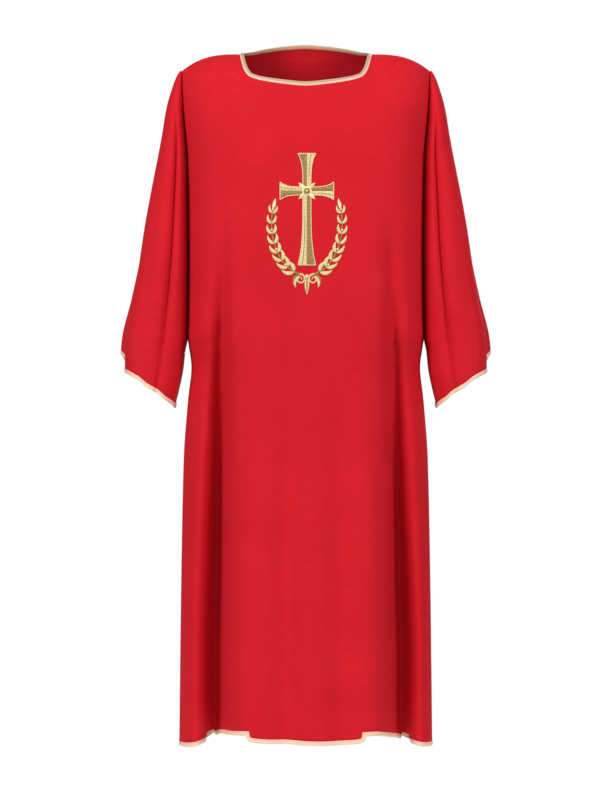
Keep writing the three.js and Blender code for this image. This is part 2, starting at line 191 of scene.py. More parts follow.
# %% [markdown]
# The bindings are polyester satin cut on the cross and folded over the edge. Satin shows
# its long threads as a smooth glow on the curve nearest to the light. Round the fold the
# colour ramp paints light: the rosy band beside the cloth is a painted highlight, the beige
# over the edge is the satin's own colour, and the tan on the inside is painted shade. The
# UV map runs along the strip in metres and round it from 0 to 2, so one colour ramp paints
# the strip's faces. A dashed line near the cloth is the topstitching, 3 mm a stitch, which
# is pressed in by a bump; a real one is 2.5 mm, too short to show.

# %% Gold satin binding
STITCH_PITCH = 0.003
STITCH_PLACE = 0.2
STITCH_WIDTH = 0.05
THREADS_PER_METRE = 900


def satin(name, rosy, beige, tan):
    strip = new_material(name)
    around = add_node(strip, "ShaderNodeUVMap", uv_map="cloth")
    parts = add_node(strip, "ShaderNodeSeparateXYZ", {"Vector": around.outputs[0]})
    share = add_node(strip, "ShaderNodeMath", {0: parts.outputs["Y"], 1: 2.0}, operation="DIVIDE")
    # the ramp round the strip is painted light: a painted highlight beside the cloth, painted shade on the
    # inside
    tone = add_node(strip, "ShaderNodeValToRGB", {"Fac": share.outputs[0]})
    stops = tone.color_ramp.elements
    stops[0].position, stops[0].color = 0.14, linear(rosy)
    stops[1].position, stops[1].color = 0.95, linear(tan)
    for position, colour in [(0.26, beige), (0.52, beige), (0.62, tan)]:
        stops.new(position).color = linear(colour)
    dash = add_node(
        strip, "ShaderNodeMath", {0: parts.outputs["X"], 1: STITCH_PITCH}, operation="PINGPONG"
    )
    dashed = add_node(
        strip, "ShaderNodeMath", {0: dash.outputs[0], 1: STITCH_PITCH / 4}, operation="GREATER_THAN"
    )
    row = add_node(
        strip,
        "ShaderNodeMath",
        {0: parts.outputs["Y"], 1: STITCH_PLACE, 2: STITCH_WIDTH},
        operation="COMPARE",
    )
    stitch = add_node(
        strip, "ShaderNodeMath", {0: dashed.outputs[0], 1: row.outputs[0]}, operation="MULTIPLY"
    )
    fine = add_node(
        strip,
        "ShaderNodeMapping",
        {"Vector": around.outputs[0]},
        sockets={"Scale": (THREADS_PER_METRE, 6, 1)},
    )
    threads = add_node(
        strip,
        "ShaderNodeTexNoise",
        {"Vector": fine.outputs[0]},
        sockets={"Scale": 1.0, "Detail": 1.0},
    )
    height = add_node(
        strip, "ShaderNodeMath", {0: threads.outputs["Fac"], 1: stitch.outputs[0]}, operation="SUBTRACT"
    )
    bump = add_node(
        strip, "ShaderNodeBump", {"Height": height.outputs[0], "Strength": 0.3, "Distance": 0.0004}
    )
    surface = add_node(
        strip,
        "ShaderNodeBsdfPrincipled",
        {"Base Color": tone.outputs["Color"], "Normal": bump.outputs[0]},
        sockets={"Roughness": 0.42, "IOR": 1.5, "Sheen Weight": 0.15, "Anisotropic": 0.4},
    )
    return finish_material(strip, surface)


EDGE_SATIN = satin("pale_gold_satin", "#FFBCA6", "#F3D6BC", "#E3B48F")
# on the neck strip the beige over the edge is a grey olive, painted shade on its upper half
NECK_SATIN = satin("gold_satin_neck_painted_shade", "#FFC9B2", "#B5A182", "#E9BC94")

# %% [markdown]
# The embroidery is lustrous rayon thread in satin stitch: long stitches side by side, each
# catching the light in turn. Three colours are used: a pale gold for the fill, an old gold
# that is painted shade on the shaded half of each shape and a plain colour on the stems and
# veins, and cream for the cord that outlines each shape. The stitches are drawn 1.4 mm
# wide, three times their real width, so that they show.

# %% Embroidery threads
STITCH = 0.0014


def thread(name, pale, deep):
    rayon = new_material(name)
    along = add_node(rayon, "ShaderNodeUVMap", uv_map="cloth")
    stitches = add_node(
        rayon,
        "ShaderNodeMapping",
        {"Vector": along.outputs[0]},
        sockets={"Scale": (1 / STITCH, 60, 1)},
    )
    strands = add_node(
        rayon,
        "ShaderNodeTexNoise",
        {"Vector": stitches.outputs[0]},
        sockets={"Scale": 1.0, "Detail": 1.0, "Roughness": 0.5},
    )
    tone = add_node(rayon, "ShaderNodeValToRGB", {"Fac": strands.outputs["Fac"]})
    tone.color_ramp.elements[0].position = 0.35
    tone.color_ramp.elements[0].color = linear(deep)
    tone.color_ramp.elements[1].position = 0.65
    tone.color_ramp.elements[1].color = linear(pale)
    bump = add_node(
        rayon,
        "ShaderNodeBump",
        {"Height": strands.outputs["Fac"], "Strength": 0.6, "Distance": 0.0006},
    )
    surface = add_node(
        rayon,
        "ShaderNodeBsdfPrincipled",
        {"Base Color": tone.outputs["Color"], "Normal": bump.outputs[0]},
        sockets={"Roughness": 0.38, "IOR": 1.5, "Sheen Weight": 0.1, "Anisotropic": 0.5},
    )
    return finish_material(rayon, surface)


PALE_GOLD = thread("rayon_thread_pale_gold", "#F0DFA8", "#D2B873")
# old gold is painted shade on shaded halves and leaf back edges, and a plain colour on stems and veins
OLD_GOLD_AND_PAINTED_SHADE = thread("rayon_thread_old_gold_and_painted_shade", "#B08D4A", "#7C5F2A")
CREAM_CORD = thread("rayon_thread_cream", "#FFEFCB", "#EBCF98")

# %% [markdown]
# The form is described as a tailor would measure it: level sections down the body, each
# with its half width and how far front and back stand off the side seams. The armhole
# column is how far its edge stands off them, and a larger square makes a boxier section.
# The widths are those of the garment seen from the front, but every depth is judged.
# A table can be read anywhere between its rows, on a smooth curve that never overshoots,
# so a few rows give the whole garment. All of this is in millimetres.

# %% Reading a table smoothly
MM = 1000


def read(table, key, place, column):
    xs = np.array([row[key] for row in table], float)
    ys = np.array([row[column] for row in table], float)
    if xs[0] > xs[-1]:
        xs, ys = xs[::-1], ys[::-1]
    gap = np.diff(xs)
    secant = np.diff(ys) / gap
    slope = np.empty_like(xs)
    slope[0], slope[-1] = secant[0], secant[-1]
    before, after = secant[:-1], secant[1:]
    total = before + after
    together = before * after > 0
    slope[1:-1] = np.where(together, 2 * before * after / np.where(together, total, 1), 0)
    place = np.clip(np.asarray(place, float), xs[0], xs[-1])
    row = np.clip(np.searchsorted(xs, place, side="right") - 1, 0, len(gap) - 1)
    t = (place - xs[row]) / gap[row]
    rise = t * t * (3 - 2 * t)
    leave = t * (1 - t) ** 2 * gap[row] * slope[row]
    arrive = t * t * (t - 1) * gap[row] * slope[row + 1]
    return ys[row] + (ys[row + 1] - ys[row]) * rise + leave + arrive


def ramp(place, start, full):
    t = np.clip((place - start) / (full - start), 0, 1)
    return t * t * (3 - 2 * t)


# %% The form of the body
NECK_HALF = 119
SHOULDER_HALF = 224
SHOULDER_DROP = 30
SHOULDER_BEND = 2.9
NAPE_SLOPE = 0.5
NAPE_BEND = 0.006
SHOULDER_ROLL = 130
YOKE_Z = -95
HEM_Z = -1223

BODY = [
    dict(z=0, half=224, front=94, back=88, armhole=42, square=4.2),
    dict(z=-95, half=220.5, front=106, back=108, armhole=32, square=4),
    dict(z=-200, half=213, front=117, back=118, armhole=18, square=4.2),
    dict(z=-350, half=211.5, front=120, back=112, armhole=8, square=5),
    dict(z=-480, half=213, front=118, back=108, armhole=2.5, square=5),
    dict(z=-512, half=214, front=118, back=108, armhole=1.5, square=4.8),
    dict(z=-526, half=212, front=118, back=109, armhole=0, square=4.5),
    dict(z=-566, half=207, front=118, back=110, armhole=0, square=3.6),
    dict(z=-624, half=213, front=119, back=113, armhole=0, square=3),
    dict(z=-733, half=221, front=121, back=119, armhole=0, square=2.9),
    dict(z=-986, half=226, front=127, back=130, armhole=0, square=2.8),
    dict(z=-1250, half=229, front=134, back=140, armhole=0, square=2.8),
]


def ridge_height(x):
    """Height of the shoulder seam, carried on over the neck."""
    inside = NECK_HALF - np.abs(x)
    outside = np.clip(-inside / (SHOULDER_HALF - NECK_HALF), 0, None)
    bent = (2 * NECK_HALF / np.pi) * np.sin(np.pi * np.clip(inside, 0, None) / (2 * NECK_HALF))
    return NAPE_SLOPE * bent + NAPE_BEND * bent**2 - SHOULDER_DROP * outside**SHOULDER_BEND


# %% [markdown]
# Gravity pulls the cloth into long folds. The two deep ones in front start below the
# shoulders and open towards the hem, each a wide trough with a narrow one in its bottom, and
# between them the cloth only ripples. Both are several centimetres deeper here than in the
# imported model, so that they look dark enough in this light; their real depth isn't known.
# Each fold is a row: where it starts and is full, its place across, its depth and its half
# width. Short creases are rows as well, each a soft valley along a line between two points.

# %% Folds and creases
FRONT_FOLDS = [
    dict(start=-190, full=-980, x0=-144, x1=-163, depth=50, half0=17, half1=25),
    dict(start=-200, full=-1000, x0=147, x1=171, depth=50, half0=18, half1=25),
    dict(start=-230, full=-1060, x0=-144, x1=-163, depth=68, half0=8, half1=20),
    dict(start=-270, full=-1080, x0=148, x1=173, depth=68, half0=8, half1=20),
    dict(start=-400, full=-900, x0=-18, x1=-34, depth=14, half0=22, half1=25),
    dict(start=-400, full=-900, x0=50, x1=64, depth=14, half0=22, half1=25),
    dict(start=-420, full=-950, x0=-98, x1=-132, depth=9, half0=16, half1=19),
    dict(start=-420, full=-950, x0=110, x1=146, depth=9, half0=16, half1=18),
]
BACK_FOLDS = [
    dict(start=-160, full=-820, x0=-112, x1=-146, depth=34, half0=24, half1=30),
    dict(start=-230, full=-900, x0=120, x1=152, depth=30, half0=22, half1=28),
    dict(start=-420, full=-1080, x0=14, x1=-8, depth=20, half0=24, half1=34),
]
FRONT_CREASES = [
    dict(x0=-120, z0=-20, x1=-176, z1=-150, depth=2.2, half=13),
    dict(x0=122, z0=-22, x1=182, z1=-170, depth=2.0, half=14),
    dict(x0=-60, z0=-90, x1=-150, z1=-330, depth=1.6, half=18),
    dict(x0=75, z0=-100, x1=160, z1=-300, depth=1.8, half=17),
    dict(x0=-205, z0=-560, x1=-120, z1=-470, depth=3.0, half=12),
    dict(x0=206, z0=-572, x1=130, z1=-500, depth=2.6, half=11),
    dict(x0=-200, z0=-600, x1=-140, z1=-680, depth=2.4, half=14),
    dict(x0=203, z0=-610, x1=150, z1=-700, depth=2.6, half=13),
    dict(x0=5, z0=-720, x1=0, z1=-1180, depth=-1.8, half=24),
]
BACK_CREASES = [
    dict(x0=-90, z0=-12, x1=-170, z1=-190, depth=3.0, half=16),
    dict(x0=96, z0=-14, x1=160, z1=-170, depth=2.6, half=15),
    dict(x0=-205, z0=-560, x1=-110, z1=-440, depth=3.4, half=14),
    dict(x0=206, z0=-565, x1=100, z1=-480, depth=3.0, half=13),
    dict(x0=-60, z0=-620, x1=-78, z1=-1150, depth=-4.0, half=22),
    dict(x0=70, z0=-560, x1=66, z1=-1130, depth=-4.5, half=24),
]


def fold_depth(folds, x, z):
    depth = np.zeros(np.broadcast(x, z).shape)
    for fold in folds:
        t = np.clip((z - fold["start"]) / (fold["full"] - fold["start"]), 0, 1)
        middle = fold["x0"] + (fold["x1"] - fold["x0"]) * t
        half = fold["half0"] + (fold["half1"] - fold["half0"]) * t
        valley = np.exp(-(((x - middle) / half) ** 2))
        depth += fold["depth"] * ramp(z, fold["start"], fold["full"]) * valley
    return depth


def crease_depth(creases, x, z):
    depth = np.zeros(np.broadcast(x, z).shape)
    for crease in creases:
        run = np.array([crease["x1"] - crease["x0"], crease["z1"] - crease["z0"]], float)
        length = np.hypot(*run)
        along = ((x - crease["x0"]) * run[0] + (z - crease["z0"]) * run[1]) / length**2
        across = ((x - crease["x0"]) * run[1] - (z - crease["z0"]) * run[0]) / length
        taper = np.sin(np.pi * np.clip(along, 0, 1)) ** 0.7
        depth += crease["depth"] * taper * np.exp(-((across / crease["half"]) ** 2))
    return depth


def body_stand(side, x, z):
    """How far the body's outer face stands off the seam plane at x and z."""
    across = np.clip(np.abs(x) / read(BODY, "z", z, "half"), 0, 1)
    bow = np.sqrt(1 - across ** read(BODY, "z", z, "square"))
    depth = read(BODY, "z", z, "front" if side < 0 else "back")
    armhole = read(BODY, "z", z, "armhole")
    fallen = np.clip((ridge_height(x) - z) / SHOULDER_ROLL, 0, 1)
    roll = np.sqrt(1 - (1 - fallen) ** 2)
    folds = fold_depth(FRONT_FOLDS if side < 0 else BACK_FOLDS, x, z)
    creases = crease_depth(FRONT_CREASES if side < 0 else BACK_CREASES, x, z)
    smooth = (armhole + (depth - armhole) * bow) * roll
    return np.clip(smooth - (folds + creases * roll) * bow, 0, None)


# %% [markdown]
# Every sheet starts as a flat grid primitive with one vertex for each point of the cloth.
# The grid's rows and columns are then laid on the form, its UV map is given the cloth's own
# lengths in metres so that the weave never stretches, and Solidify gives it a thickness.

# %% Laying a grid on the form
CLOTH_THICKNESS = 0.0007


def lay_grid(name, points, outward, material, thickness=CLOTH_THICKNESS, lengths=None):
    """points is rows x columns x 3, in millimetres; outward tells which way is out."""
    rows, columns = points.shape[:2]
    bpy.ops.object.select_all(action="DESELECT")
    bpy.ops.mesh.primitive_grid_add(x_subdivisions=columns - 1, y_subdivisions=rows - 1, size=1)
    sheet = bpy.context.object
    sheet.name = sheet.data.name = name
    sheet.data.vertices.foreach_set("co", (points / MM).ravel())
    if lengths is None:
        middle = points[:, columns // 2]
        level = points[rows // 2]
        down = np.concatenate([[0], np.cumsum(np.linalg.norm(np.diff(middle, axis=0), axis=1))])
        over = np.concatenate([[0], np.cumsum(np.linalg.norm(np.diff(level, axis=0), axis=1))])
        lengths = np.stack(np.meshgrid(over / MM, -down / MM), axis=-1)
    layer = sheet.data.uv_layers[0] if sheet.data.uv_layers else sheet.data.uv_layers.new()
    layer.name = "cloth"
    corner = np.empty(len(sheet.data.loops), int)
    sheet.data.loops.foreach_get("vertex_index", corner)
    layer.data.foreach_set("uv", lengths.reshape(-1, 2)[corner].ravel())
    sheet.data.update()
    normals = np.empty(len(sheet.data.vertices) * 3)
    sheet.data.vertices.foreach_get("normal", normals)
    if (normals.reshape(-1, 3) * outward(points.reshape(-1, 3))).sum() < 0:
        sheet.data.flip_normals()
    sheet.data.materials.append(material)
    bpy.ops.object.shade_smooth()
    area = sum(face.area for face in sheet.data.polygons)
    if thickness:
        wall = sheet.modifiers.new("wall", "SOLIDIFY")
        wall.thickness = thickness
        wall.offset = -1
        bpy.ops.object.modifier_apply(modifier=wall.name)
    print(name, rows, "x", columns, "points,", round(area, 3), "m2 of cloth")
    return sheet, area


# %% [markdown]
# Each body panel is one piece from shoulder to hem. Its top row follows the neckline and
# the shoulder seam, its bottom row the hem, and the rows between slide from one to the
# other. In front the hem hangs a little lower across the middle, with a short step each
# side of it, between the two deep folds.

# %% Body panels
COLUMNS = [
    dict(across=0, top=0, parts=5), dict(across=0.15, top=36, parts=5),
    dict(across=0.31, top=74, parts=5), dict(across=0.42, top=100, parts=5),
    dict(across=0.438, top=110, parts=5), dict(across=0.4435, top=112, parts=5),
    dict(across=0.49, top=116.5, parts=3),
    dict(across=0.55, top=119, parts=4), dict(across=0.61, top=137, parts=4),
    dict(across=0.66, top=149, parts=4), dict(across=0.71, top=160, parts=4),
    dict(across=0.76, top=171, parts=4), dict(across=0.81, top=182, parts=5),
    dict(across=0.87, top=195, parts=6), dict(across=0.93, top=208, parts=7),
    dict(across=0.975, top=218.5, parts=8), dict(across=1, top=224, parts=0),
]
FRONT_NECK = [
    dict(x=-36, z=-66.8), dict(x=0, z=-70), dict(x=36, z=-66.8), dict(x=74, z=-60.5),
    dict(x=100, z=-51), dict(x=110, z=-36), dict(x=116.5, z=-12), dict(x=NECK_HALF, z=0),
]
BACK_NECK = [
    dict(x=-36, z=19), dict(x=0, z=22), dict(x=36, z=19), dict(x=74, z=11.5), dict(x=100, z=4),
    dict(x=110, z=1.8), dict(x=116.5, z=0.6), dict(x=NECK_HALF, z=0),
]
FRONT_HEM = [
    dict(x=-229, z=-1240), dict(x=-190, z=-1232), dict(x=-171, z=-1226), dict(x=-143, z=-1213),
    dict(x=-119, z=-1208), dict(x=-100.4, z=-1206.5), dict(x=-98.6, z=-1215), dict(x=-95, z=-1218),
    dict(x=-57, z=-1221), dict(x=0, z=-1223), dict(x=58, z=-1224), dict(x=92, z=-1221),
    dict(x=98.6, z=-1218), dict(x=100.4, z=-1208.5), dict(x=121, z=-1208), dict(x=139, z=-1212),
    dict(x=160, z=-1223), dict(x=178, z=-1231), dict(x=195, z=-1233), dict(x=229, z=-1240),
]
BACK_HEM = [
    dict(x=-229, z=-1240), dict(x=-150, z=-1230), dict(x=-60, z=-1236), dict(x=20, z=-1232),
    dict(x=110, z=-1237), dict(x=170, z=-1229), dict(x=229, z=-1240),
]
YOKE_ROWS = 34
LEVEL_STEP = 5.5
HEM_REACH = 160


def panel_columns():
    across, top = [], []
    for here, there in zip(COLUMNS, COLUMNS[1:]):
        for k in range(here["parts"]):
            share = k / here["parts"]
            across.append(here["across"] + (there["across"] - here["across"]) * share)
            top.append(here["top"] + (there["top"] - here["top"]) * share)
    across.append(COLUMNS[-1]["across"])
    top.append(COLUMNS[-1]["top"])
    return np.array(across), np.array(top)


def panel_points(side, neck, hem):
    across, top = panel_columns()
    sign = np.concatenate([-np.ones(len(across) - 1), np.ones(len(across))])
    across = np.concatenate([across[:0:-1], across])
    top = np.concatenate([top[:0:-1], top])
    crown = np.where(top < NECK_HALF, read(neck, "x", top, "z"), ridge_height(top))
    rows = []
    for share in np.linspace(0, 1, YOKE_ROWS) ** 2:
        z = crown + (YOKE_Z - crown) * share
        x = top + (across * read(BODY, "z", YOKE_Z, "half") - top) * share
        x = np.where(across == 1, read(BODY, "z", z, "half"), x)
        rows.append((sign * x, z))
    hem_line = read(hem, "x", sign * across * read(BODY, "z", HEM_Z, "half"), "z")
    for level in np.linspace(YOKE_Z, HEM_Z, int((YOKE_Z - HEM_Z) / LEVEL_STEP) + 1)[1:]:
        z = level + (hem_line - HEM_Z) * ramp(level, HEM_Z + HEM_REACH, HEM_Z)
        rows.append((sign * across * read(BODY, "z", z, "half"), z))
    x = np.array([row[0] for row in rows])
    z = np.array([row[1] for row in rows])
    return np.stack([x, side * body_stand(side, x, z), z], axis=-1)


def body_outward(points):
    """Roughly outwards: mostly to the front or back, and a little to the side."""
    sideways, forwards = 0.3, 100
    return np.stack(
        [points[:, 0] * sideways, np.sign(points[:, 1]) * forwards, points[:, 2] * 0], axis=-1
    )


panel_sheets = {}
for name, side, neck, hem in [("front", -1, FRONT_NECK, FRONT_HEM), ("back", 1, BACK_NECK, BACK_HEM)]:
    laid = panel_points(side, neck, hem)
    piece, cut_area = lay_grid(f"cloth_{name}_panel", laid, body_outward, RED_CLOTH)
    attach(piece, "root")
    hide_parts(f"{name}_panel")
    panel_sheets[name] = dict(piece=piece, points=laid, area=cut_area, trims=[])

# %% [markdown]
# A sleeve is one piece folded along its top. From the shoulder to the underarm its edges
# are sewn to the body, so a section is an arch; below the underarm its edges meet and it
# is a tube. Round the sleeve, 0 is the seam, 0.25 the middle of the front, 0.5 the outer
# fold and 0.75 the middle of the back. The cuff is cut level but hangs slanting.

# %% Sleeves
SLEEVE = [
    dict(z=-30, inner=224, outer=228, bulge=1),
    dict(z=-40, inner=223.9, outer=234, bulge=3),
    dict(z=-60, inner=222.5, outer=241, bulge=13),
    dict(z=-95, inner=220.5, outer=251, bulge=28),
    dict(z=-154, inner=215, outer=261, bulge=41),
    dict(z=-262, inner=211, outer=282, bulge=56),
    dict(z=-371, inner=211, outer=302, bulge=66),
    dict(z=-443, inner=212, outer=318, bulge=70),
    dict(z=-512, inner=214.2, outer=335, bulge=72),
    dict(z=-534, inner=218.5, outer=337, bulge=73),
    dict(z=-570, inner=222.5, outer=337, bulge=73),
    dict(z=-606, inner=230, outer=337, bulge=71),
    dict(z=-634, inner=237, outer=337, bulge=68),
]
CUFF = [
    dict(round=0, z=-632.5), dict(round=0.12, z=-620.5), dict(round=0.19, z=-606.5),
    dict(round=0.253, z=-594.7), dict(round=0.31, z=-581), dict(round=0.39, z=-572),
    dict(round=0.465, z=-568), dict(round=0.485, z=-552), dict(round=0.5, z=-543),
    dict(round=0.53, z=-534.5), dict(round=0.58, z=-548), dict(round=0.7, z=-580),
    dict(round=0.85, z=-610), dict(round=1, z=-632.5),
]
SLEEVE_CREASES = [
    dict(x0=0.16, z0=-60, x1=0.20, z1=-640, depth=6, half=0.03),
    dict(x0=0.165, z0=-60, x1=0.205, z1=-700, depth=7, half=0.010),
    dict(x0=0.10, z0=-120, x1=0.13, z1=-520, depth=-4, half=0.04),
    dict(x0=0.33, z0=-260, x1=0.30, z1=-600, depth=4, half=0.05),
    dict(x0=0.84, z0=-70, x1=0.79, z1=-620, depth=7, half=0.035),
    dict(x0=0.66, z0=-300, x1=0.70, z1=-600, depth=5, half=0.05),
]
# The sleeve rises steeply beside the body, and turns more gently at its outer fold.
INNER_BEND = 0.5
OUTER_BEND = 0.8
SEAM_GAP = 0.2
SLANT_START = -330
CREASE_START, CREASE_FULL = -50, -200
THOUSANDTHS = 1000
SLEEVE_COLUMNS = 180
SLEEVE_ROWS = 110
# A small pleat at the outer fold: the front is folded this far short of the back, and between
# them the cloth turns in again.
PLEAT = dict(start=-300, full=-540, short=9.5, tuck=7, round=0.485, half=0.012)
PLEAT_OPENS = (0.3, 0.46)
PLEAT_SHUTS = (0.53, 0.49)


def sleeve_points(side):
    around = np.linspace(0, 1, SLEEVE_COLUMNS + 1)
    over = np.where(around < 0.5, around * 2, 2 - around * 2)
    face = np.where(around < 0.5, -1, 1)
    cuff = read(CUFF, "round", around, "z")
    # creases lie in the sleeve's own map: the place round it, in thousandths, against height
    sleeve_creases = [
        {key: value * THOUSANDTHS if key in ("x0", "x1", "half") else value for key, value in c.items()}
        for c in SLEEVE_CREASES
    ]
    rows = []
    for share in np.linspace(0, 1, SLEEVE_ROWS):
        level = SLEEVE[0]["z"] + (SLEEVE[-1]["z"] - SLEEVE[0]["z"]) * share
        z = level + (cuff - SLEEVE[-1]["z"]) * ramp(level, SLANT_START, SLEEVE[-1]["z"])
        half = read(BODY, "z", z, "half")
        inner = np.maximum(read(SLEEVE, "z", z, "inner"), half + SEAM_GAP)
        edge = np.where(around < 0.5, body_stand(-1, half, z), body_stand(1, half, z))
        bulge = read(SLEEVE, "z", z, "bulge")
        arch = edge / (edge + bulge)
        reach = arch * np.sin(np.pi * over / 2) + (1 - arch) * (1 - np.cos(np.pi * over)) / 2
        pleat = PLEAT["short"] * ramp(around, *PLEAT_OPENS) * ramp(around, *PLEAT_SHUTS)
        pleat += PLEAT["tuck"] * np.exp(-(((around - PLEAT["round"]) / PLEAT["half"]) ** 2))
        pleat *= ramp(z, PLEAT["start"], PLEAT["full"])
        x = inner + (read(SLEEVE, "z", z, "outer") - inner) * reach - pleat
        creases = crease_depth(sleeve_creases, around * THOUSANDTHS, z)
        bend = np.where(over < 0.5, INNER_BEND, OUTER_BEND)
        stand = edge * np.cos(np.pi * over / 2) + bulge * np.sin(np.pi * over).clip(0) ** bend
        stand = stand - creases * ramp(z, CREASE_START, CREASE_FULL)
        rows.append(np.stack([side * x, face * np.clip(stand, 0, None), z], axis=-1))
    return np.array(rows)


def sleeve_outward(side):
    def outward(points):
        inner = read(SLEEVE, "z", points[:, 2], "inner")
        outer = read(SLEEVE, "z", points[:, 2], "outer")
        away = points[:, 0] - side * (inner + outer) / 2
        return np.stack([away, points[:, 1], points[:, 2] * 0], axis=-1)

    return outward


sleeve_sheets = {}
for name, side in [("left", 1), ("right", -1)]:
    laid = sleeve_points(side)
    piece, cut_area = lay_grid(f"cloth_sleeve_{name}", laid, sleeve_outward(side), RED_CLOTH)
    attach(piece, "root")
    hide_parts(f"sleeve_{name}")
    sleeve_sheets[name] = dict(piece=piece, points=laid, area=cut_area, trims=[])

# %% [markdown]
# A binding is a narrow strip folded over a raw edge, so its section is a flat rounded loop.
# It is swept along the edge's own points: at each one the strip stands off the cloth's edge
# by half its width, in the cloth's own plane, and the ring is as thick as the folded strip.

# %% Bindings
BINDING_WIDTH = 8.0
BINDING_THICKNESS = 2.6
BINDING_SIDES = 14
BINDING_LAP = 0.8
FLATNESS = 0.7
ROUNDNESS = 0.8
WELD = 0.00002


def edge_normals(points, row, loops=False):
    """Unit normals of the cloth along one of its rows."""
    along = np.gradient(points[row], axis=0)
    if loops:
        along[0] = along[-1] = points[row][1] - points[row][-2]
    down = points[row] - points[row - 1] if row == -1 else points[1] - points[0]
    normal = np.cross(along, down)
    return normal / np.linalg.norm(normal, axis=1, keepdims=True)


def sweep_binding(name, edge, normal, out, loops, material):
    turn = np.linspace(0, 2 * np.pi, BINDING_SIDES + 1)
    flat = np.sign(np.cos(turn)) * np.abs(np.cos(turn)) ** FLATNESS
    crown = np.sign(np.sin(turn)) * np.abs(np.sin(turn)) ** ROUNDNESS
    middle = edge + out * (BINDING_WIDTH / 2 - BINDING_LAP) - normal * CLOTH_THICKNESS * MM / 2
    rings = (
        middle[:, None]
        + out[:, None] * (flat * BINDING_WIDTH / 2)[None, :, None]
        + normal[:, None] * (crown * BINDING_THICKNESS / 2)[None, :, None]
    )
    if loops:
        rings = np.concatenate([rings, rings[:1]])
    run = np.concatenate([[0], np.cumsum(np.linalg.norm(np.diff(rings[:, 0], axis=0), axis=1))])
    across = np.where(turn <= np.pi, (1 + flat) / 2, (3 - flat) / 2)
    lengths = np.stack(np.broadcast_arrays(run[:, None] / MM, across[None]), axis=-1)
    closed = np.concatenate([middle, middle[:1]])[: len(rings)]
    centre = np.repeat(closed[:, None], BINDING_SIDES + 1, axis=1)
    strip, _ = lay_grid(
        name, rings, lambda p: p - centre.reshape(-1, 3), material, thickness=0, lengths=lengths
    )
    bpy.ops.object.mode_set(mode="EDIT")
    bpy.ops.mesh.select_all(action="SELECT")
    bpy.ops.mesh.remove_doubles(threshold=WELD)
    bpy.ops.mesh.select_all(action="DESELECT")
    bpy.ops.mesh.select_non_manifold()
    if not loops:
        bpy.ops.mesh.fill_holes(sides=0)
    bpy.ops.mesh.select_all(action="SELECT")
    bpy.ops.mesh.normals_make_consistent(inside=False)
    bpy.ops.object.mode_set(mode="OBJECT")
    return strip


def finish_trim(piece, node, sheet):
    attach(piece, "root")
    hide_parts(node)
    sheet["trims"].append(piece)


def unit(vectors):
    return vectors / np.linalg.norm(vectors, axis=1, keepdims=True)


def outwards(normal, away):
    return np.where((normal * away).sum(axis=1, keepdims=True) < 0, -normal, normal)


def soften(vectors, passes, loops):
    """Evens out directions along an edge."""
    for _ in range(passes):
        if loops:
            before, after = np.roll(vectors, 1, axis=0), np.roll(vectors, -1, axis=0)
        else:
            before = np.concatenate([vectors[:1], vectors[:-1]])
            after = np.concatenate([vectors[1:], vectors[-1:]])
        vectors = unit(2 * vectors + before + after)
    return vectors


LEVEL = np.array([1.0, 1.0, 0.0])
DOWN = np.array([0.0, 0.0, -1.0])
for name, sheet in panel_sheets.items():
    edge = sheet["points"][-1]
    normal = unit(outwards(edge_normals(sheet["points"], -1), edge * [0.3, 4, 0]) * LEVEL)
    # the strip turns with the edge at each step of the hem, always to the same side
    below = np.cross(unit(np.gradient(edge, axis=0)), normal)
    below *= np.sign((below @ DOWN).sum())
    strip = sweep_binding(
        f"satin_hem_{name}", edge, soften(normal, 5, False), soften(below, 2, False), False, EDGE_SATIN
    )
    finish_trim(strip, f"hem_binding_{name}", sheet)

for name, sheet in sleeve_sheets.items():
    edge = sheet["points"][-1][:-1]
    normal = edge_normals(sheet["points"], -1, loops=True)[:-1]
    facing = np.sign((outwards(normal, edge - edge.mean(axis=0)) * normal).sum())
    normal = soften(unit(normal * facing * LEVEL), 1, True)
    below = np.tile(DOWN, (len(edge), 1))
    strip = sweep_binding(f"satin_cuff_{name}", edge, normal, below, True, EDGE_SATIN)
    finish_trim(strip, f"cuff_binding_{name}", sheet)

# %% Neck binding
NECK_CENTRE = np.array([0, -20, 40])
NECK_LIFT = 60


def neck_row(sheet):
    """The neckline's points and normals, from the right shoulder to the left."""
    points = sheet["points"]
    neck = np.abs(points[0][:, 0]) <= NECK_HALF + 0.01
    normal = outwards(edge_normals(points, 0), points[0] * [0, 1, 0] + [0, 0, NECK_LIFT])
    return points[0][neck], normal[neck]


front_edge, front_normal = neck_row(panel_sheets["front"])
back_edge, back_normal = neck_row(panel_sheets["back"])
edge = np.concatenate([front_edge, back_edge[-2:0:-1]])
normal = np.concatenate([front_normal, back_normal[-2:0:-1]])
normal = soften(normal, 6, True)
tangent = unit(np.roll(edge, -1, axis=0) - np.roll(edge, 1, axis=0))
aim = NECK_CENTRE - edge
out = soften(unit(outwards(np.cross(normal, tangent), aim)), 4, True)
neck_strip = sweep_binding("satin_neck", edge, normal, out, True, NECK_SATIN)
finish_trim(neck_strip, "neck_binding", panel_sheets["front"])

# %% [markdown]
# Embroidery is worked on the cloth, so every shape is drawn flat in the garment's own
# width and height and then laid on the front panel's surface, lifted by its padding. A
# satin-stitched shape is a band along a line: two edges, and a crown that rises between
# them. Its stitches run across the band, which is how its UV map is laid.

# %% Laying stitches on the chest
SURFACE_STEP = 1.0
UNDERSIDE = -0.25
STITCH_WELD = 0.000005


def on_front(x, z, lift):
    """Points of the front panel's outer face at x and z, moved out by lift."""
    here = np.stack([x, -body_stand(-1, x, z), z], axis=-1)
    beside, above = x + SURFACE_STEP, z + SURFACE_STEP
    right = np.stack([beside, -body_stand(-1, beside, z), z], axis=-1) - here
    up = np.stack([x, -body_stand(-1, x, above), above], axis=-1) - here
    normal = np.cross(right, up)
    normal /= np.linalg.norm(normal, axis=-1, keepdims=True)
    return here + normal * np.asarray(lift)[..., None]


